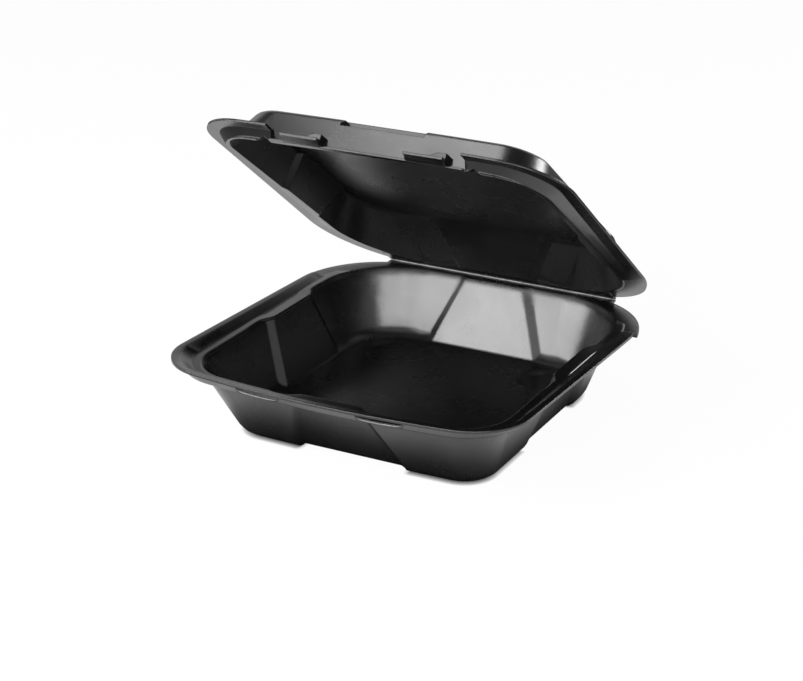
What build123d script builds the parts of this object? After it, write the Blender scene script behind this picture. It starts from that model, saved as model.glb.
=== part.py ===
from build123d import *
from math import atan, cos, hypot, pi, sin
import os

os.makedirs("parts", exist_ok=True)

# Hinged take-away box formed from one sheet of foam.
# X runs along the front, Y towards the hinge, Z up; the feet stand on Z = 0.

# Whole box
box_width = 235.0
rim_half = box_width / 2
rim_front = 117.5
hinge_line = 117.5
rim_level = 47.4
rim_rise = 6.0
lid_opening_angle = 36.0

# Foam sheet
base_wall = 2.0
lid_wall = 1.7
flange_wall = 1.5
cut_overrun = 3.0

# Stepped rim of the tray
lip_inset = 2.0
lip_half = rim_half - lip_inset
lip_width = 3.9
lip_overhang = 1.4
lip_wall = 1.5
lip_bow = 11.3
rim_front_radius = 38.0
rim_rear_radius = 60.0
upstand_side_run = 6.6
upstand_front_run = 6.1
upstand_to_hinge = 49.5
upstand_end = hinge_line - upstand_to_hinge
ledge_half = lip_half - lip_width - upstand_side_run
ledge_front = rim_front - lip_width - upstand_front_run
ledge_bow = 9.0
ledge_front_radius = 31.0
skirt_wall = 4.0
skirt_bow = 9.5

# Tray bowl, inner faces at the rim and at the table
ledge_side_width = 5.5
ledge_front_width = 3.5
rear_flange_width = 6.2
bowl_side_lean = 17.5
bowl_front_lean = 23.0
bowl_rear_lean = 20.3
bowl_rim_half = ledge_half - ledge_side_width
bowl_rim_front = ledge_front - ledge_front_width
bowl_rim_bow = 7.0
bowl_rim_rear = hinge_line - rear_flange_width
bowl_rim_front_radius = 28.0
bowl_rim_rear_radius = 52.0
bowl_foot_half = bowl_rim_half - bowl_side_lean
bowl_foot_front = bowl_rim_front - bowl_front_lean
bowl_foot_bow = 1.5
bowl_foot_rear = bowl_rim_rear - bowl_rear_lean
bowl_foot_front_radius = 19.0
bowl_foot_rear_radius = 34.0
bowl_outer_rounding = 6.0
bowl_inner_rounding = 6.0
bowl_edge_rounding = 2.0
rounding_steps = 3
edge_steps = 2

# Feet under the tray
foot_height = 3.3
foot_pocket_margin = 9.0
foot_pocket_depth = 1.6
foot_pocket_slope = 5.0
foot_pocket_radius = 14.0
foot_gap_half_width = 36.0
foot_gap_half_length = 36.0
side_panel_centre = 11.0

# Pressed panels in the tray walls
panel_depth = 2.6
panel_strip = 5.0
front_panel_rim_half = 20.6
front_panel_foot_half = 35.5
side_panel_rim_half = 24.0
side_panel_foot_half = 35.5
rear_panel_rim_half = 21.7
rear_panel_foot_half = 41.0

# Hinge strip
hinge_half_length = 82.0
hinge_strip_width = 14.0
hinge_gap = 0.3
hinge_strip_wall = 1.2

# Latch slots and tabs
slot_inner_end = 25.3
slot_outer_end = 54.1
slot_sill = 1.8
slot_height = 2.7
slot_bulge = 0.9
tab_width = 24.5
tab_start = 27.4
tab_overhang = 0.9
tab_reach = rim_front + tab_overhang
tab_bottom = 0.6
tab_step_width = 6.5
tab_step = ledge_front + tab_step_width
tab_underside = 2.3
tab_thickness = 1.6
tab_slope = 2.2
gusset_width = 12.2
gusset_flat = 5.2
gusset_rise = 3.6
gusset_overhang = 3.0
gusset_reach = rim_front - gusset_overhang

# Clearances of the closed lid
rim_clearance = 0.3
plug_clearance = 0.8
ledge_clearance = 0.4

# Lid rim
lid_rim_setback = 1.5
lid_rim_bow = 4.1
lid_rim_rear_radius = 59.0
plug_setback = 3.1
plug_half = lip_half - lip_width - plug_clearance
plug_front = rim_front - lip_width - plug_setback
plug_front_bow = 3.0
plug_front_radius = 33.0
bead_setback = 2.5
bead_half = ledge_half - plug_clearance
bead_front = ledge_front - bead_setback
bead_bow = 2.5
bead_front_radius = 27.0
bead_width = 1.0
front_cut_half = 62.0
front_lip_reach = 2.4
front_lip_wall = 1.3
hump_place = 67.0
hump_half_width = 5.0
hump_rise = 2.6

# Lid dome, outer faces at the rim and at the top
dome_side_setback = 2.4
dome_front_setback = 0.5
dome_rear_setback = 6.0
dome_side_lean = 8.6
dome_front_lean = 13.0
dome_rear_lean = 31.5
dome_rim_half = ledge_half - dome_side_setback
dome_rim_front = ledge_front - dome_front_setback
dome_rim_bow = 3.0
dome_rim_rear = hinge_line - dome_rear_setback
dome_rim_front_radius = 26.0
dome_rim_rear_radius = 50.0
dome_height = 24.6
dome_top_half = dome_rim_half - dome_side_lean
dome_top_front = dome_rim_front - dome_front_lean
dome_top_bow = 2.0
dome_top_rear = dome_rim_rear - dome_rear_lean
dome_top_front_radius = 24.0
dome_top_rear_radius = 30.0
tab_root = dome_rim_front - lid_wall / 2
dome_outer_rounding = 3.0
dome_inner_rounding = 2.0

# Pressed panels and top notches in the lid
lid_panel_depth = 2.2
lid_side_panel_rim_half = 25.0
lid_side_panel_top_half = 34.0
lid_rear_panel_rim_half = 24.0
lid_rear_panel_top_half = 42.0
notch_half_width = 27.0
notch_depth = 5.0
notch_reach = 5.5


def rim_plane(above):
    """Plane of the sloping rim, raised by a height at the hinge line."""
    origin = (0, hinge_line, rim_level + above)
    slope = atan(rim_rise / (hinge_line + rim_front))
    return Plane(origin=origin, x_dir=(1, 0, 0), z_dir=(0, sin(slope), cos(slope)))


def level_plane(height):
    """Level plane whose own Y starts at the hinge line."""
    return Plane(origin=(0, hinge_line, height), x_dir=(1, 0, 0), z_dir=(0, 0, 1))


def plan(half, front, bow, rear, front_radius, rear_radius):
    """Rounded square outline with a bowed front edge, Y measured from the hinge line."""
    front_y = -front - hinge_line
    rear_y = rear - hinge_line
    sides = Polyline((-half, front_y), (-half, rear_y), (half, rear_y), (half, front_y))
    nose = ThreePointArc((half, front_y), (0, front_y - bow), (-half, front_y))
    face = make_face([*sides.edges(), nose.edge()])
    face = fillet(face.vertices().sort_by(Axis.Y)[:2], front_radius)
    return fillet(face.vertices().sort_by(Axis.Y)[-2:], rear_radius)


def between(share, low, high):
    """Value part of the way from low to high."""
    return low + (high - low) * share


def bowl_plan(height, outset):
    """Outline of the bowl's inner face at a height, moved out by outset."""
    share = height / rim_level
    return plan(
        between(share, bowl_foot_half, bowl_rim_half) + outset,
        between(share, bowl_foot_front, bowl_rim_front) + outset,
        between(share, bowl_foot_bow, bowl_rim_bow),
        between(share, bowl_foot_rear, bowl_rim_rear) + outset,
        between(share, bowl_foot_front_radius, bowl_rim_front_radius) + outset,
        between(share, bowl_foot_rear_radius, bowl_rim_rear_radius) + outset,
    )


def rounded_form(plan_at, level, start, end, outset, rounding):
    """Solid of leaning walls from start to end, with a rounded edge at its start."""
    way = 1 if end > start else -1
    sections = []
    for step in range(rounding_steps + 1):
        turn = pi / 2 * step / rounding_steps
        height = start + way * rounding * (1 - cos(turn))
        inset = rounding * (1 - sin(turn))
        sections.append(level_plane(level + height) * plan_at(height, outset - inset))
    sections.append(level_plane(level + end) * plan_at(end, outset))
    return loft(sections, ruled=True)


def bowl_form(low, high, outset, rounding):
    """Solid between two heights of the bowl's walls, rounded at its foot."""
    return rounded_form(bowl_plan, 0, low, high, outset, rounding)


def bowl_mouth():
    """Flare at the top of the bowl that rounds its edge over onto the ledge."""
    sections = []
    for step in range(edge_steps + 1):
        turn = pi / 2 * step / edge_steps
        height = rim_level - bowl_edge_rounding * (1 - sin(turn))
        sections.append(level_plane(height) * bowl_plan(height, bowl_edge_rounding * (1 - cos(turn))))
    return loft(sections, ruled=True)


def dome_plan(height, outset):
    """Outline of the dome's outer face at a height above the rim level, moved out by outset."""
    share = height / dome_height
    return plan(
        between(share, dome_rim_half, dome_top_half) + outset,
        between(share, dome_rim_front, dome_top_front) + outset,
        between(share, dome_rim_bow, dome_top_bow),
        between(share, dome_rim_rear, dome_top_rear) + outset,
        between(share, dome_rim_front_radius, dome_top_front_radius) + outset,
        between(share, dome_rim_rear_radius, dome_top_rear_radius) + outset,
    )


def dome_form(low, high, outset, rounding):
    """Solid between two heights of the dome's walls, rounded at its top."""
    return rounded_form(dome_plan, rim_level, high, low, outset, rounding)


def wall_panel(foot, along, outward, lean, length, low_half, high_half, depth, inset):
    """Wedge outside a pressed panel of a leaning wall, from its sunken face outwards.

    foot is the middle of the wall's foot, along its direction, outward its level normal,
    and lean how far the wall moves outward over its length of height.
    """
    rise = Vector(*outward) * lean + Vector(0, 0, length)
    normal = rise.cross(Vector(*along)).normalized()
    if normal.dot(Vector(*outward)) < 0:
        normal = -normal
    across = Vector(*along)
    up = normal.cross(across)
    if up.Z * length < 0:
        across = -across
    frame = Plane(origin=foot, x_dir=across, z_dir=normal)
    slope_length = hypot(lean, length)
    strip_share = panel_strip / panel_depth
    faces = []
    for offset in (-depth - inset, depth):
        widening = (offset + depth + inset) * strip_share - panel_strip / 2
        low = low_half + widening
        high = high_half + widening
        over = slope_length / 2
        spread = (high_half - low_half) * over / slope_length
        corners = Polyline(
            (-low + spread, -over),
            (low - spread, -over),
            (high + spread, slope_length + over),
            (-high - spread, slope_length + over),
            close=True,
        )
        faces.append(frame.offset(offset) * make_face(corners))
    return loft(faces, ruled=True)


def block(x_low, x_high, y_low, y_high, z_low, z_high):
    """Box between two corners."""
    size = (x_high - x_low, y_high - y_low, z_high - z_low)
    middle = ((x_low + x_high) / 2, (y_low + y_high) / 2, (z_low + z_high) / 2)
    return Pos(*middle) * Box(*size)


def panel_wedges(walls, origin_level, length, depth, inset):
    """Wedges of the pressed panels listed as foot, along, outward, lean and two half widths."""
    wedges = []
    for x, y, along, outward, lean, low_half, high_half in walls:
        foot = (x, y, origin_level)
        wedges.append(wall_panel(foot, along, outward, lean, length, low_half, high_half, depth, inset))
    return wedges


def tray_panels(inset, top):
    """Wedges of the four tray panels, cut off at a height."""
    side_x = bowl_foot_half + base_wall
    side_lean = bowl_rim_half - bowl_foot_half
    front_lean = bowl_rim_front + bowl_rim_bow - bowl_foot_front
    rear_lean = bowl_rim_rear - bowl_foot_rear
    across, lengthwise = (1, 0, 0), (0, 1, 0)
    walls = [
        (0, -bowl_foot_front - base_wall, across, (0, -1, 0), front_lean,
         front_panel_foot_half, front_panel_rim_half),
        (0, bowl_foot_rear + base_wall, across, (0, 1, 0), rear_lean,
         rear_panel_foot_half, rear_panel_rim_half),
    ]
    for side in (-1, 1):
        walls.append((side * side_x, side_panel_centre, lengthwise, (side, 0, 0), side_lean,
                      side_panel_foot_half, side_panel_rim_half))
    keep = block(-box_width, box_width, -box_width, box_width, -box_width, top)
    return [wedge & keep for wedge in panel_wedges(walls, 0, rim_level, panel_depth, inset)]


def dome_panels(inset):
    """Wedges of the dome's rear and side panels."""
    side_lean = dome_top_half - dome_rim_half
    rear_lean = dome_top_rear - dome_rim_rear
    walls = [(0, dome_rim_rear, (1, 0, 0), (0, 1, 0), rear_lean,
              lid_rear_panel_rim_half, lid_rear_panel_top_half)]
    for side in (-1, 1):
        walls.append((side * dome_rim_half, side_panel_centre, (0, 1, 0), (side, 0, 0), side_lean,
                      lid_side_panel_rim_half, lid_side_panel_top_half))
    return panel_wedges(walls, rim_level, dome_height, lid_panel_depth, inset)


def foot_gaps(widening, low, high):
    """Cross between the four corner feet."""
    wide = box_width
    half_x = foot_gap_half_width + widening
    half_y = foot_gap_half_length + widening
    middle = side_panel_centre
    lengthwise = block(-half_x, half_x, -wide, wide, low, high)
    crosswise = block(-wide, wide, middle - half_y, middle + half_y, low, high)
    return lengthwise + crosswise


def foot_pockets(floor):
    """Shallow hollows over the four feet, with sloping sides."""
    near_x = foot_gap_half_width + base_wall
    far_x = bowl_foot_half - foot_pocket_margin
    pockets = []
    for way in (-1, 1):
        near_y = side_panel_centre + way * (foot_gap_half_length + base_wall)
        far_y = bowl_foot_rear - foot_pocket_margin if way > 0 else foot_pocket_margin - bowl_foot_front
        size = (far_x - near_x, abs(far_y - near_y))
        for side in (-1, 1):
            middle = (side * (near_x + far_x) / 2, (near_y + far_y) / 2)
            rims = []
            for drop, inset in ((foot_pocket_depth, foot_pocket_slope), (0, 0)):
                outline = RectangleRounded(size[0] - 2 * inset, size[1] - 2 * inset,
                                           foot_pocket_radius - inset)
                rims.append(Pos(*middle, floor - drop) * outline)
            pocket = loft(rims, ruled=True)
            pockets.append(pocket + extrude(Pos(*middle, floor) * RectangleRounded(*size, foot_pocket_radius),
                                            base_wall / 2))
    return pockets


def tray_flange():
    """Flat flange that runs round the rear corners, with the hinge strip."""
    top = rim_level
    rear = hinge_line - hinge_gap / 2
    outline = plan(rim_half, rim_front, lip_bow, rear, rim_front_radius, rim_rear_radius)
    plate = extrude(level_plane(top - base_wall) * outline, base_wall)
    plate &= block(-box_width, box_width, upstand_end, box_width, 0, box_width)
    strip = block(-hinge_half_length, hinge_half_length, hinge_line - hinge_strip_width, rear,
                  top - hinge_strip_wall, top)
    return plate + strip


def tray_rim():
    """Ledge, upstand, skirt and lip along the front and both sides, still solid inside."""
    rear = hinge_line
    skirt = plan(ledge_half + skirt_wall, ledge_front + skirt_wall, skirt_bow, rear,
                 ledge_front_radius + skirt_wall, rim_rear_radius)
    neck = plan(lip_half - lip_overhang, rim_front - lip_overhang, lip_bow, rear,
                rim_front_radius - lip_overhang, rim_rear_radius)
    lip = plan(lip_half, rim_front, lip_bow, rear, rim_front_radius, rim_rear_radius)
    foot = level_plane(rim_level - base_wall) * skirt
    body = loft([foot, rim_plane(-lip_wall / 2) * neck], ruled=True)
    plate = extrude(rim_plane(-lip_wall) * lip, lip_wall)
    front = block(-box_width, box_width, -box_width, upstand_end, 0, box_width)
    return (body + plate) & front


def rim_cavity():
    """Space inside the upstand, from the ledge to above the lip."""
    rear = hinge_line
    inner_half = lip_half - lip_width
    inner_front = rim_front - lip_width
    ledge = plan(ledge_half, ledge_front, ledge_bow, rear, ledge_front_radius, rim_rear_radius - lip_width)
    mouth = plan(inner_half, inner_front, lip_bow, rear, rim_front_radius - lip_width,
                 rim_rear_radius - lip_width)
    lower = loft([level_plane(rim_level) * ledge, rim_plane(0) * mouth], ruled=True)
    upper = extrude(rim_plane(0) * mouth, cut_overrun)
    return lower + upper


def latch_slots():
    """Two slots through the skirt just under the lip, with a curved lower edge."""
    slots = []
    low = rim_level + slot_sill
    high = low + slot_height
    for side in (-1, 1):
        near = side * slot_inner_end
        far = side * slot_outer_end
        middle = (near + far) / 2
        edge = ThreePointArc((near, low), (middle, low - slot_bulge), (far, low))
        rest = Polyline((far, low), (far, high), (near, high), (near, low))
        face = Plane.XZ.offset(ledge_front) * make_face([edge.edge(), *rest.edges()])
        slots.append(extrude(face, rim_front + lip_bow - ledge_front + cut_overrun))
    return slots


def base_tray():
    """Tray half: bowl with pressed panels and feet, stepped rim, slots and hinge strip."""
    lean = (bowl_rim_half - bowl_foot_half) / rim_level
    skin = base_wall * hypot(1, lean)
    floor = foot_height + base_wall
    outside = bowl_form(0, rim_level - base_wall / 2, skin, bowl_outer_rounding)
    for wedge in tray_panels(0, rim_level - base_wall):
        outside -= wedge
    outside -= foot_gaps(0, -cut_overrun, foot_height)
    solid = outside + tray_rim() + tray_flange()

    bowl = bowl_form(floor, rim_level + cut_overrun, 0, bowl_inner_rounding) + bowl_mouth()
    for wedge in tray_panels(skin, rim_level):
        bowl -= wedge
    solid -= bowl
    for pocket in foot_pockets(floor):
        solid -= pocket
    solid -= rim_cavity()
    for slot in latch_slots():
        solid -= slot
    return solid


def lid_flange():
    """Outer flange of the lid with its hinge strip."""
    rear = hinge_line - hinge_gap / 2
    front = rim_front - lid_rim_setback
    outline = plan(rim_half, front, lid_rim_bow, rear, rim_front_radius, lid_rim_rear_radius)
    plate = extrude(rim_plane(rim_clearance) * outline, flange_wall)
    strip = block(-hinge_half_length, hinge_half_length, hinge_line - hinge_strip_width, rear,
                  rim_level + rim_clearance, rim_level + rim_clearance + hinge_strip_wall)
    return plate + strip


def plug_form(shrink, floor, top):
    """Solid inside the plug wall, from its bead up to the flange."""
    rear = hinge_line - hinge_gap
    mouth = plan(plug_half - shrink, plug_front - shrink, plug_front_bow, rear, plug_front_radius - shrink,
                 rim_rear_radius - lip_width)
    bead = plan(bead_half - shrink, bead_front - shrink, bead_bow, rear, bead_front_radius - shrink,
                rim_rear_radius - lip_width)
    form = loft([level_plane(rim_level + floor) * bead, rim_plane(top) * mouth], ruled=True)
    return form & block(-box_width, box_width, -box_width, upstand_end - plug_clearance, 0, box_width)


def lid_notch():
    """Notch in the middle of the dome's front top edge."""
    low = rim_level + dome_height - notch_depth
    high = rim_level + dome_height + cut_overrun
    front_y = -dome_top_front - dome_top_bow
    return block(-notch_half_width, notch_half_width, -box_width, front_y + notch_reach, low, high)


def bead_humps(grow):
    """Pointed ridges under the plug's bead beside the front cut, grown by a wall."""
    humps = []
    for side in (-1, 1):
        half = hump_half_width + grow
        low = rim_level + ledge_clearance
        corners = Polyline((side * hump_place - half, low), (side * hump_place, low + hump_rise + grow),
                           (side * hump_place + half, low), close=True)
        start = Plane.XZ.offset(dome_rim_front - lid_wall)
        humps.append(extrude(start * make_face(corners), rim_front - dome_rim_front))
    return humps


def lid_tabs():
    """Two latch tabs that stand in the slots' mouths, each with a wedge-shaped gusset."""
    tabs = []
    underside = rim_level + tab_underside
    top = underside + tab_thickness
    profile = Polyline(
        (-tab_root, rim_level + tab_bottom),
        (-tab_step, rim_level + tab_bottom),
        (-tab_step - tab_slope, underside),
        (-tab_reach, underside),
        (-tab_reach, top),
        (-tab_root, top),
        close=True,
    )
    shelf = extrude(Plane.YZ * make_face(profile), tab_width)
    ridge_start = tab_width - gusset_width
    flat_start = tab_width - gusset_flat
    low_ridge = Polyline((ridge_start, top), (flat_start, top + gusset_rise),
                         (tab_width, top + gusset_rise), (tab_width, top - tab_thickness / 2),
                         (ridge_start, top - tab_thickness / 2), close=True)
    ridge = extrude(Plane.XZ.offset(tab_root - gusset_flat) * make_face(low_ridge),
                    gusset_reach - tab_root + gusset_flat)
    tab = shelf + ridge
    for start in (-tab_start - tab_width, tab_start):
        tabs.append(Pos(start, 0, 0) * tab)
    return tabs


def lid():
    """Lid half, made closed and then swung open about the hinge line."""
    lean = (dome_rim_half - dome_top_half) / dome_height
    skin = lid_wall * hypot(1, lean)
    bottom = ledge_clearance
    dome = dome_form(bottom, dome_height, 0, dome_outer_rounding)
    notched = dome
    for cut in [lid_notch(), *dome_panels(0)]:
        notched -= cut
    groove = plug_form(bead_width + lid_wall, bottom + lid_wall, rim_clearance + flange_wall + cut_overrun)
    groove -= dome
    for hump in bead_humps(lid_wall):
        groove -= hump
    front_cut = block(-front_cut_half, front_cut_half, -box_width, -bead_front + bead_width + rim_clearance,
                      rim_level, rim_level + dome_height)
    ring = lid_flange() + plug_form(0, bottom, rim_clearance + flange_wall / 2)
    ring -= groove
    ring -= front_cut - dome
    lip_plan = dome_plan(bottom, front_lip_reach)
    front_lip = extrude(level_plane(rim_level + bottom) * lip_plan, front_lip_wall)
    front_lip &= block(-front_cut_half, front_cut_half, -box_width, -bowl_foot_front, 0, box_width)
    solid = ring + notched + front_lip
    for tab in lid_tabs():
        solid += tab

    cavity = dome_form(-cut_overrun, dome_height - lid_wall, -skin, dome_inner_rounding)
    cavity -= offset_block(lid_notch(), lid_wall)
    for wedge in dome_panels(skin):
        cavity -= wedge
    solid -= cavity
    for hump in bead_humps(0):
        solid -= hump
    hinge = Axis((0, hinge_line, rim_level + rim_clearance / 2), (1, 0, 0))
    return solid.rotate(hinge, -lid_opening_angle)


def offset_block(notch, grow):
    """Notch box grown on every side by a wall."""
    low = notch.bounding_box().min
    high = notch.bounding_box().max
    return block(low.X - grow, high.X + grow, low.Y - grow, high.Y + grow, low.Z - grow, high.Z + grow)


plan_front = -rim_front - lip_bow
lid_rear = hinge_line + (rim_clearance / 2 + flange_wall) * sin(lid_opening_angle * pi / 180)
plan_middle = (plan_front + lid_rear) / 2
for name, maker in (("base_tray", base_tray), ("lid", lid)):
    solid = Pos(0, -plan_middle, 0) * maker()
    print(name, len(solid.solids()), round(solid.volume), solid.is_valid)
    export_step(solid, f"parts/{name}.step")
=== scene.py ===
import math

import bmesh
import bpy
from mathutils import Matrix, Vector
from mathutils.bvhtree import BVHTree


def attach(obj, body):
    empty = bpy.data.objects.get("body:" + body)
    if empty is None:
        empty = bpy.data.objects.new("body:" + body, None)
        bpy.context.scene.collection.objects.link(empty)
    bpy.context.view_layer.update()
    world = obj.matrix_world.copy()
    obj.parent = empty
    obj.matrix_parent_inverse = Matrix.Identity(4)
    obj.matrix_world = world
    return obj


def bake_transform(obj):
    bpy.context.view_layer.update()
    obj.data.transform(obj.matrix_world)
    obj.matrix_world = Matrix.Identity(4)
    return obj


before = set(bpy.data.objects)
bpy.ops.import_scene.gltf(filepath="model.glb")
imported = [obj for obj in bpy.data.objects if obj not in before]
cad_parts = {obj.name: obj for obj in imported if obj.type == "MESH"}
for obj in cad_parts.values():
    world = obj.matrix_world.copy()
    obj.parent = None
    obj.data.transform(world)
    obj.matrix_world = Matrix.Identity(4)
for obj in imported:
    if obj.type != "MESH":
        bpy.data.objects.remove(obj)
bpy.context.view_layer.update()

# Photograph and camera, fitted to the picture
image_width = 803
image_height = 681
focal_pixels = 1998.0
view_azimuth = math.radians(28.03)
view_elevation = math.radians(22.13)
origin_pixel = (417.62, 408.93)
origin_distance = 1.24055
origin_y = 0.00517
sensor_width = 36.0
camera_clip = (0.05, 50.0)

# Hinge line and fold, in metres
hinge_y = 0.12267
hinge_z = 0.04755
fold_half_length = 0.0818
fold_radius = 0.0005
fold_steps = 96
fold_sides = 14
fold_taper = 14
fold_end_share = 0.25
fold_swell = 0.1
fold_waves = (61.0, 17.0)

# Rolled edge of the bowl's mouth: its section over the edge, out and up, then across the ledge,
# as shares of the ledge's width and a rise
rim_level = 0.0474
edge_section = (
    (0.0010, 0.00028), (0.0002, 0.00032), (-0.0006, 0.00026), (-0.0014, 0.00002), (-0.0020, -0.0006),
    (-0.0023, -0.0014), (-0.0023, -0.0024), (-0.0016, -0.0032), (-0.0004, -0.0016),
)
ledge_section = ((1.0, -0.0006), (1.0, 0.00002), (0.7, 0.0001), (0.4, 0.0002))
ledge_side = 0.0058
ledge_front = 0.0038
ledge_front_swell = 0.002
ledge_corner_swell = 0.0014
mouth_half = 0.1
edge_step = 0.002
edge_softenings = 2
edge_steady = 7
panel_dent = 0.0026
panel_share = 0.5
rear_start = 0.35
rear_end = 0.8
rear_sink = 0.0008
front_flat = 0.75

# How the bowl's edge is found on the tray: by level faces outside it and steep ones inside
corner_digits = 5
level_slack = 0.00003
level_normal = 0.99
drop_normal = 0.97

# Ridges under the two latch slots: their section from the skirt, back and up
slot_middle = 0.0397
slot_half = 0.0144
slot_sill = 0.0018
slot_bulge = 0.0009
ridge_section = ((0.0004, 0.0), (-0.00035, -0.0001), (-0.00075, -0.00105), (0.0004, -0.0017))
ridge_ends = 8
ridge_steps = 28
ridge_sunk = 0.0001

# Shading of the solids: how far an edge may turn and still look round
round_turn = math.radians(38)
crisp_turn = math.radians(18)
level_share = 0.25
join_distance = 0.00001
face_area_weight = 100

# Studio: lamps stand round a point in the object, each with its bearing, height, spread across and up
# in degrees, and radiance; the backdrop's edge is a share of straight up
lamp_distance = 1.6
lamp_target = (0.0, 0.0, 0.08)
lamps = (
    ("front_box", -50, 19, 41, 24, 7.5),
    ("front_box", -9, 19, 41, 24, 7.5),
    ("front_box", 32, 19, 41, 24, 7.5),
    ("fill_box", -38, 48, 26, 20, 4.0),
    ("overhead_box", -137, 63, 20, 20, 4.8),
    ("rear_box", 150, 20, 14, 16, 12.0),
)
backdrop_light = 0.8
backdrop_top = 0.36
ceiling_start = 0.5
ceiling_light = 0.06

# Floor: its paper, how far its shadow under the object reaches, and how it dims far off in reflections
floor_half = 12.0
floor_drop = 0.0002
paper_white = (0.85, 0.85, 0.85, 1)
paper_roughness = 0.9
occlusion_samples = 8
contact_reach = 0.003
overhang_reach = 0.022
overhang_contrast = 3.5
floor_white = 0.95
floor_near = 0.30
floor_far = 0.42
floor_far_light = 0.13

# Foam skin: each noise has its size in metres, detail and roughness; lengths are in metres
grain_noise = (0.0011, 2.0, 0.5)
mottle_noise = (0.006, 4.0, 0.6)
cloud_noise = (0.045, 3.0, 0.55)
mottle_range = (0.35, 0.65)
cloud_range = (0.3, 0.7)
cell_size = 0.00176
grain_share = 1.3
wave_depth = 0.00003
skin_dark = (0.0023, 0.0023, 0.0024, 1)
skin_light = (0.0029, 0.0029, 0.003, 1)
skin_roughness = (0.24, 0.32)
skin_grain = 0.000015
# Hinge fold: its grey colours, far lighter than the foam, are a painted highlight along the fold
fold_highlight_low = (0.09, 0.09, 0.094, 1)
fold_highlight_high = (0.19, 0.19, 0.2, 1)
fold_roughness = (0.3, 0.42)
fold_grain = 0.00002
foam_ior = 1.59
foam_gloss = 0.65

# Softened edges: radius outside and in the bowl, and more of it at the rear of the bowl's mouth
edge_samples = 6
edge_radius = 0.0008
bowl_radius = 0.0022
bowl_top = (0.0476, 0.0482)
mouth_radius = 0.0028
mouth_start = (0.085, 0.095)
mouth_depth = (0.034, 0.040)


def make_camera():
    """Camera at the place that the fit gives."""
    sin_a, cos_a = math.sin(view_azimuth), math.cos(view_azimuth)
    sin_e, cos_e = math.sin(view_elevation), math.cos(view_elevation)
    forward = Vector((-sin_a * cos_e, cos_a * cos_e, -sin_e))
    right = forward.cross(Vector((0.0, 0.0, 1.0))).normalized()
    up = right.cross(forward)
    per_pixel = origin_distance / focal_pixels
    across = (origin_pixel[0] - image_width / 2) * per_pixel
    down = (origin_pixel[1] - image_height / 2) * per_pixel
    data = bpy.data.cameras.new("camera")
    data.sensor_width = sensor_width
    data.lens = focal_pixels / image_width * sensor_width
    data.clip_start, data.clip_end = camera_clip
    camera = bpy.data.objects.new("camera", data)
    camera.location = Vector((0.0, origin_y, 0.0)) - right * across + up * down - forward * origin_distance
    camera.rotation_euler = (math.pi / 2 - view_elevation, 0.0, view_azimuth)
    bpy.context.collection.objects.link(camera)
    bpy.context.scene.camera = camera
    return camera


def new_material(name):
    """Node material with a plain shader: the material, its nodes, its links and the shader."""
    material = bpy.data.materials.new(name)
    material.use_nodes = True
    nodes = material.node_tree.nodes
    nodes.clear()
    output = nodes.new("ShaderNodeOutputMaterial")
    output.name = "surface"
    shader = nodes.new("ShaderNodeBsdfPrincipled")
    material.node_tree.links.new(shader.outputs["BSDF"], output.inputs["Surface"])
    return material, nodes, material.node_tree.links, shader


def noise(nodes, links, vector, size, detail, rough):
    """Noise texture whose features are about a given size in metres."""
    texture = nodes.new("ShaderNodeTexNoise")
    texture.inputs["Scale"].default_value = 1.0 / size
    texture.inputs["Detail"].default_value = detail
    texture.inputs["Roughness"].default_value = rough
    links.new(vector, texture.inputs["Vector"])
    return texture.outputs["Fac"]


def remap(nodes, links, value, low, high, new_low, new_high):
    """Value mapped from one range to another."""
    node = nodes.new("ShaderNodeMapRange")
    node.inputs["From Min"].default_value = low
    node.inputs["From Max"].default_value = high
    node.inputs["To Min"].default_value = new_low
    node.inputs["To Max"].default_value = new_high
    links.new(value, node.inputs["Value"])
    return node.outputs["Result"]


def node_math(nodes, links, operation, first, second):
    """Result of an operation on a node's output and a number or another output."""
    node = nodes.new("ShaderNodeMath")
    node.operation = operation
    for place, value in enumerate((first, second)):
        if isinstance(value, (int, float)):
            node.inputs[place].default_value = value
        else:
            links.new(value, node.inputs[place])
    return node.outputs["Value"]


def softness(nodes, links, place):
    """Radius that edges look rounded to: larger in the bowl, and largest at the rear of its mouth."""
    parts = nodes.new("ShaderNodeSeparateXYZ")
    links.new(place, parts.inputs["Vector"])
    bowl = remap(nodes, links, parts.outputs["Z"], *bowl_top, bowl_radius, edge_radius)
    mouth = remap(nodes, links, parts.outputs["Z"], *bowl_top, mouth_radius, 0.0)
    behind = remap(nodes, links, parts.outputs["Y"], *mouth_start, 0.0, 1.0)
    near_top = remap(nodes, links, parts.outputs["Z"], *mouth_depth, 0.0, 1.0)
    rear = node_math(nodes, links, "MULTIPLY", behind, near_top)
    return node_math(nodes, links, "ADD", bowl, node_math(nodes, links, "MULTIPLY", mouth, rear))


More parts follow.
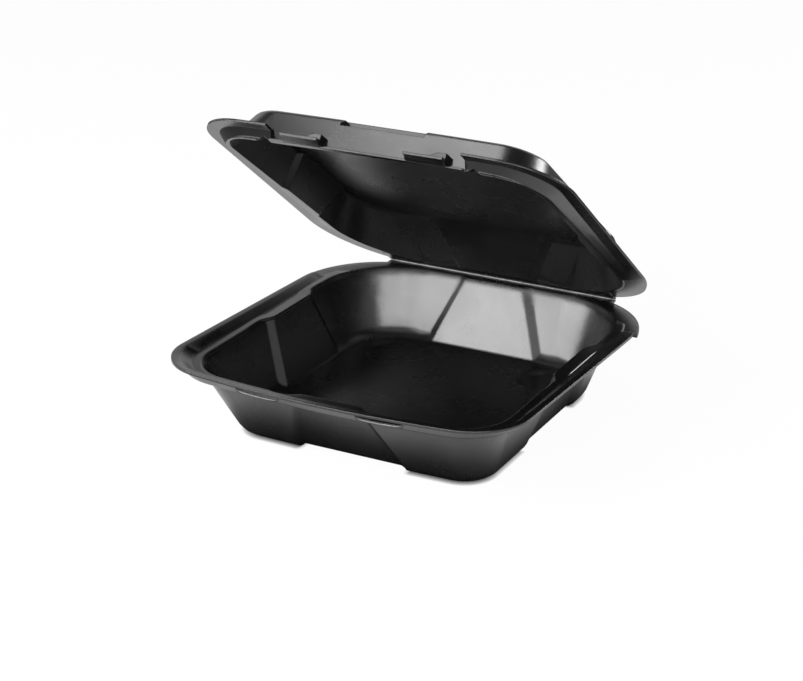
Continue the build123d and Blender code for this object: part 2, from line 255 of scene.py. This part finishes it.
def foam_material(name, dark, light, rough_low, rough_high, grain_depth, softened):
    """Black foam skin, or the hinge fold's grey painted highlight: clouded colour and gloss, with a fine
    pebbled grain and softened edges.
    """
    material, nodes, links, shader = new_material(name)
    place = nodes.new("ShaderNodeTexCoord").outputs["Object"]
    cloud = noise(nodes, links, place, *cloud_noise)
    mottle = noise(nodes, links, place, *mottle_noise)
    grain = noise(nodes, links, place, *grain_noise)
    colour = nodes.new("ShaderNodeMix")
    colour.data_type = "RGBA"
    colour.inputs["A"].default_value = dark
    colour.inputs["B"].default_value = light
    links.new(remap(nodes, links, mottle, *mottle_range, 0.0, 1.0), colour.inputs["Factor"])
    links.new(colour.outputs["Result"], shader.inputs["Base Color"])
    rough = remap(nodes, links, cloud, *cloud_range, rough_low, rough_high)
    links.new(rough, shader.inputs["Roughness"])
    edge = nodes.new("ShaderNodeBevel")
    edge.samples = edge_samples
    edge.inputs["Radius"].default_value = edge_radius
    if softened:
        links.new(softness(nodes, links, place), edge.inputs["Radius"])
    cells = nodes.new("ShaderNodeTexVoronoi")
    cells.feature = "SMOOTH_F1"
    cells.inputs["Scale"].default_value = 1.0 / cell_size
    links.new(place, cells.inputs["Vector"])
    normal = edge.outputs["Normal"]
    for height, depth in ((cells.outputs["Distance"], grain_depth), (grain, grain_depth * grain_share),
                          (mottle, wave_depth)):
        bump = nodes.new("ShaderNodeBump")
        bump.inputs["Distance"].default_value = depth
        bump.inputs["Strength"].default_value = 1.0
        links.new(height, bump.inputs["Height"])
        links.new(normal, bump.inputs["Normal"])
        normal = bump.outputs["Normal"]
    links.new(normal, shader.inputs["Normal"])
    shader.inputs["IOR"].default_value = foam_ior
    shader.inputs["Specular IOR Level"].default_value = foam_gloss
    return material


def round_shading():
    """Node group that shades a solid smooth, but for its sharp edges and the sides of its panels."""
    group = bpy.data.node_groups.new("round_shading", "GeometryNodeTree")
    group.interface.new_socket("Geometry", in_out="INPUT", socket_type="NodeSocketGeometry")
    group.interface.new_socket("Geometry", in_out="OUTPUT", socket_type="NodeSocketGeometry")
    nodes, links = group.nodes, group.links
    start, end = nodes.new("NodeGroupInput"), nodes.new("NodeGroupOutput")
    join = nodes.new("GeometryNodeMergeByDistance")
    join.inputs["Distance"].default_value = join_distance
    turn = nodes.new("GeometryNodeInputMeshEdgeAngle").outputs["Unsigned Angle"]
    ends = nodes.new("GeometryNodeInputMeshEdgeVertices")
    along = nodes.new("ShaderNodeVectorMath")
    along.operation = "SUBTRACT"
    links.new(ends.outputs["Position 1"], along.inputs[0])
    links.new(ends.outputs["Position 2"], along.inputs[1])
    way = nodes.new("ShaderNodeVectorMath")
    way.operation = "NORMALIZE"
    links.new(along.outputs["Vector"], way.inputs[0])
    parts = nodes.new("ShaderNodeSeparateXYZ")
    links.new(way.outputs["Vector"], parts.inputs["Vector"])
    steep = node_math(nodes, links, "GREATER_THAN",
                      node_math(nodes, links, "ABSOLUTE", parts.outputs["Z"], 0.0), level_share)
    crisp = node_math(nodes, links, "GREATER_THAN", turn, crisp_turn)
    panel_side = node_math(nodes, links, "MULTIPLY", steep, crisp)
    sharp = node_math(nodes, links, "MAXIMUM", panel_side,
                      node_math(nodes, links, "GREATER_THAN", turn, round_turn))
    faces = nodes.new("GeometryNodeSetShadeSmooth")
    faces.domain = "FACE"
    edges = nodes.new("GeometryNodeSetShadeSmooth")
    edges.domain = "EDGE"
    edges.inputs["Shade Smooth"].default_value = False
    links.new(start.outputs["Geometry"], join.inputs["Geometry"])
    links.new(join.outputs["Geometry"], faces.inputs["Geometry"])
    links.new(faces.outputs["Geometry"], edges.inputs["Geometry"])
    links.new(sharp, edges.inputs["Selection"])
    links.new(edges.outputs["Geometry"], end.inputs["Geometry"])
    return group


def dress_node(name, material, shading):
    """Material on a CAD node, with smooth shading across its rounded edges."""
    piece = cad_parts[name]
    piece.data.materials.clear()
    piece.data.materials.append(material)
    piece.modifiers.new("round_shading", "NODES").node_group = shading
    weigh = piece.modifiers.new("face_weight", "WEIGHTED_NORMAL")
    weigh.keep_sharp = True
    weigh.weight = face_area_weight
    return piece


def new_piece(name, vertices, faces, material, smooth):
    """New object from corners and faces."""
    mesh = bpy.data.meshes.new(name)
    mesh.from_pydata(vertices, [], faces)
    if smooth:
        mesh.shade_smooth()
    piece = bpy.data.objects.new(name, mesh)
    bpy.context.collection.objects.link(piece)
    piece.data.materials.append(material)
    return piece


def add_piece(name, vertices, faces, material, body, smooth):
    """New closed piece with its faces turned outward, on a body, in the foam's material slot."""
    piece = new_piece(name, vertices, faces, material, smooth)
    work = bmesh.new()
    work.from_mesh(piece.data)
    bmesh.ops.recalc_face_normals(work, faces=work.faces)
    work.to_mesh(piece.data)
    work.free()
    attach(piece, body)
    return piece


def tube_faces(count, around, closed):
    """Faces of a tube from its rings of corners, closed on itself or with a cap at each end."""
    faces = []
    for ring in range(count if closed else count - 1):
        near, far = ring * around, (ring + 1) % count * around
        for turn in range(around):
            side = (turn + 1) % around
            faces.append((near + turn, near + side, far + side, far + turn))
    if not closed:
        faces.append(tuple(range(around - 1, -1, -1)))
        faces.append(tuple((count - 1) * around + turn for turn in range(around)))
    return faces


def mouth_edges():
    """Edges of the tray's inner rim: a level face lies outside them and a wall drops inside."""
    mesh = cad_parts["base_tray"].data
    beside = {}
    for face in mesh.polygons:
        corners = [tuple(round(value, corner_digits) for value in mesh.vertices[index].co)
                   for index in face.vertices]
        for near, far in zip(corners, corners[1:] + corners[:1]):
            beside.setdefault(frozenset((near, far)), []).append(face)
    edges = []
    for ends, faces in beside.items():
        if len(ends) < 2 or len(faces) != 2 or any(abs(end[2] - rim_level) > level_slack for end in ends):
            continue
        level = [face for face in faces if face.normal.z > level_normal]
        drops = [face for face in faces if face.normal.z < drop_normal and face.center.z < rim_level
                 and face.normal.x * face.center.x + face.normal.y * face.center.y < 0]
        if level and drops:
            edges.append(tuple(ends))
    return edges


def longest_loop(edges):
    """Corners of the longest chain of edges, in order."""
    beside = {}
    for near, far in edges:
        beside.setdefault(near, []).append(far)
        beside.setdefault(far, []).append(near)
    best = []
    left = set(beside)
    while left:
        loop = [left.pop()]
        while True:
            following = [corner for corner in beside[loop[-1]] if corner in left]
            if not following:
                break
            loop.append(following[0])
            left.discard(following[0])
        if len(loop) > len(best):
            best = loop
    return [Vector(corner) for corner in best]


def even_loop(corners, step):
    """Closed loop with its corners evenly spaced and softened."""
    ring = corners + corners[:1]
    lengths = [(far - near).length for near, far in zip(ring, ring[1:])]
    count = round(sum(lengths) / step)
    places = []
    for index in range(count):
        run = sum(lengths) * index / count
        side = 0
        while run > lengths[side]:
            run -= lengths[side]
            side += 1
        places.append(ring[side].lerp(ring[side + 1], run / lengths[side]))
    for _ in range(edge_softenings):
        places = [(places[index - 1] + 2 * place + places[(index + 1) % count]) / 4
                  for index, place in enumerate(places)]
    return places


def dent_depths(places):
    """The way out of a loop at each place, and how far the place lies inside the widest outline."""
    depths = []
    count = len(places)
    for index, place in enumerate(places):
        ahead = places[(index + edge_steady) % count] - places[index - edge_steady]
        out = Vector((ahead.y, -ahead.x, 0)).normalized()
        if out.dot(place) < 0:
            out = -out
        depth = max((other - place).dot(out) for other in places)
        depths.append((out, min(depth, panel_dent)))
    return depths


def make_edge(material):
    """Rolled edge round the bowl's mouth, which follows the panels and falls gently across the ledge."""
    places = even_loop(longest_loop(mouth_edges()), edge_step)
    vertices = []
    for place, (out, depth) in zip(places, dent_depths(places)):
        inner = 1 - panel_share * depth / panel_dent
        front = ledge_front + ledge_front_swell * (1 - (place.x / mouth_half) ** 2)
        width = ledge_side * out.x ** 2 + front * out.y ** 2 + ledge_corner_swell * abs(out.x * out.y) + depth
        gone = min(1, max(0, (out.y - rear_start) / (rear_end - rear_start)))
        points = [(width * share, rise) for share, rise in ledge_section]
        points += [(across if across > 0 else across * inner, rise if rise > 0 else rise * inner)
                   for across, rise in edge_section]
        level = 1 - front_flat * max(0, -out.y) ** 2
        for across, rise in points:
            rise *= level if rise > 0 else 1
            inward = across * (1 - gone) + rear_sink * gone
            vertices.append(place + out * inward + Vector((0, 0, rise * (1 - gone) - rear_sink * gone)))
    faces = tube_faces(len(places), len(ledge_section) + len(edge_section), True)
    return add_piece("bowl_edge", vertices, faces, material, "tray_body", True)


def make_ridges(material):
    """Curved ridge with a steep front under each latch slot, on the skirt."""
    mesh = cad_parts["base_tray"].data
    skirt = BVHTree.FromPolygons([vertex.co for vertex in mesh.vertices],
                                 [face.vertices for face in mesh.polygons])
    faces = tube_faces(ridge_steps + 1, len(ridge_section), False)
    for side, name in ((-1, "slot_ridge_left"), (1, "slot_ridge_right")):
        vertices = []
        for step in range(ridge_steps + 1):
            share = step / ridge_steps * 2 - 1
            x = side * slot_middle + share * slot_half
            z = rim_level + slot_sill - slot_bulge * (1 - share * share) - ridge_sunk
            place = skirt.ray_cast(Vector((x, -1, z)), Vector((0, 1, 0)))[0]
            swell = 1 - share ** ridge_ends
            for back, rise in ridge_section:
                vertices.append(place + Vector((0, back if back > 0 else back * swell, rise)))
        add_piece(name, vertices, faces, material, "tray_body", False)


def make_fold(material):
    """Rounded fold of the pressed hinge, a fine bead along the hinge line; its material's grey is a painted
    highlight.
    """
    vertices = []
    for step in range(fold_steps + 1):
        share = step / fold_steps
        x = (share * 2 - 1) * fold_half_length
        end = min(1.0, fold_taper * min(share, 1 - share) + fold_end_share)
        swell = 1 + fold_swell * math.sin(share * fold_waves[0]) * math.sin(share * fold_waves[1])
        radius = fold_radius * end * swell
        for turn in range(fold_sides):
            angle = 2 * math.pi * turn / fold_sides
            vertices.append((x, hinge_y + radius * math.cos(angle), hinge_z + radius * math.sin(angle)))
    faces = tube_faces(fold_steps + 1, fold_sides, False)
    piece = new_piece("hinge_fold", vertices, faces, material, True)
    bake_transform(piece)
    return piece


def seen_directly(nodes, links):
    """Share of plain white for camera, glossy and transmission rays, nought for others."""
    path = nodes.new("ShaderNodeLightPath")
    total = node_math(nodes, links, "MULTIPLY", path.outputs["Is Camera Ray"], floor_white)
    for other in ("Is Glossy Ray", "Is Transmission Ray"):
        total = node_math(nodes, links, "MAXIMUM", total, path.outputs[other])
    return total


def open_share(nodes, links, reach, contrast):
    """How open a place on the floor is to the sky within a reach, raised to a contrast."""
    occlusion = nodes.new("ShaderNodeAmbientOcclusion")
    occlusion.samples = occlusion_samples
    occlusion.inputs["Distance"].default_value = reach
    return node_math(nodes, links, "POWER", occlusion.outputs["AO"], contrast)


def make_floor():
    """Floor that shows plain white, darker close under the object and dimmer far off in reflections."""
    material, nodes, links, shader = new_material("floor_paper")
    shader.inputs["Base Color"].default_value = paper_white
    shader.inputs["Roughness"].default_value = paper_roughness
    white = nodes.new("ShaderNodeEmission")
    shade = nodes.new("ShaderNodeMix")
    shade.data_type = "FLOAT"
    links.new(nodes.new("ShaderNodeLightPath").outputs["Is Glossy Ray"], shade.inputs["Factor"])
    links.new(open_share(nodes, links, contact_reach, 1.0), shade.inputs["A"])
    away = nodes.new("ShaderNodeVectorMath")
    away.operation = "LENGTH"
    links.new(nodes.new("ShaderNodeTexCoord").outputs["Object"], away.inputs[0])
    fade = remap(nodes, links, away.outputs["Value"], floor_near, floor_far, 1.0, floor_far_light)
    open_floor = open_share(nodes, links, overhang_reach, overhang_contrast)
    links.new(node_math(nodes, links, "MULTIPLY", fade, open_floor), shade.inputs["B"])
    links.new(shade.outputs["Result"], white.inputs["Strength"])
    mix = nodes.new("ShaderNodeMixShader")
    links.new(seen_directly(nodes, links), mix.inputs["Fac"])
    links.new(shader.outputs["BSDF"], mix.inputs[1])
    links.new(white.outputs["Emission"], mix.inputs[2])
    links.new(mix.outputs["Shader"], nodes["surface"].inputs["Surface"])
    corners = [(-floor_half, -floor_half, 0), (floor_half, -floor_half, 0), (floor_half, floor_half, 0),
               (-floor_half, floor_half, 0)]
    floor = new_piece("floor", corners, [(0, 1, 2, 3)], material, False)
    floor.location.z = -floor_drop
    return floor


def softbox(name, azimuth, elevation, width, height, radiance):
    """Lamp round the object at a bearing, facing it; azimuth 0 is in front, positive to the right."""
    bearing, rise = math.radians(azimuth), math.radians(elevation)
    heading = Vector((math.sin(bearing) * math.cos(rise), -math.cos(bearing) * math.cos(rise),
                      math.sin(rise)))
    data = bpy.data.lights.new(name, "AREA")
    data.shape = "RECTANGLE"
    data.size = 2 * lamp_distance * math.tan(math.radians(width / 2))
    data.size_y = 2 * lamp_distance * math.tan(math.radians(height / 2))
    data.energy = radiance * math.pi * data.size * data.size_y
    lamp = bpy.data.objects.new(name, data)
    lamp.location = Vector(lamp_target) + heading * lamp_distance
    lamp.rotation_euler = (math.pi / 2 - rise, 0.0, bearing)
    bpy.context.collection.objects.link(lamp)
    return lamp


def make_world():
    """White backdrop round the horizon and a dim ceiling above it, plain white to the camera."""
    world = bpy.data.worlds.new("studio")
    bpy.context.scene.world = world
    world.use_nodes = True
    nodes = world.node_tree.nodes
    links = world.node_tree.links
    nodes.clear()
    output = nodes.new("ShaderNodeOutputWorld")
    parts = nodes.new("ShaderNodeSeparateXYZ")
    links.new(nodes.new("ShaderNodeTexCoord").outputs["Generated"], parts.inputs["Vector"])
    studio = nodes.new("ShaderNodeBackground")
    fade = remap(nodes, links, parts.outputs["Z"], backdrop_top, ceiling_start, backdrop_light, ceiling_light)
    links.new(fade, studio.inputs["Strength"])
    white = nodes.new("ShaderNodeBackground")
    mix = nodes.new("ShaderNodeMixShader")
    path = nodes.new("ShaderNodeLightPath")
    links.new(path.outputs["Is Camera Ray"], mix.inputs["Fac"])
    links.new(studio.outputs["Background"], mix.inputs[1])
    links.new(white.outputs["Background"], mix.inputs[2])
    for shader in (studio, white):
        shader.inputs["Color"].default_value = (1, 1, 1, 1)
    links.new(mix.outputs["Shader"], output.inputs["Surface"])


def make_lights():
    """Arc of softboxes in front, a fill above it, one overhead and one at the right rear."""
    for lamp in lamps:
        softbox(*lamp)


make_camera()
make_world()
make_floor()
make_lights()
skin = foam_material("foam_skin", skin_dark, skin_light, *skin_roughness, skin_grain, True)
edge_skin = foam_material("edge_skin", skin_dark, skin_light, *skin_roughness, skin_grain, False)
# The hinge fold's grey colour is a painted highlight, lighter than the black foam
fold_highlight_skin = foam_material("fold_highlight_skin", fold_highlight_low, fold_highlight_high, *fold_roughness, fold_grain, False)
shading = round_shading()
for node_name in ("base_tray", "lid"):
    dress_node(node_name, skin, shading)
make_edge(edge_skin)
make_ridges(edge_skin)
make_fold(fold_highlight_skin)

scene = bpy.context.scene
scene.view_settings.view_transform = "Standard"
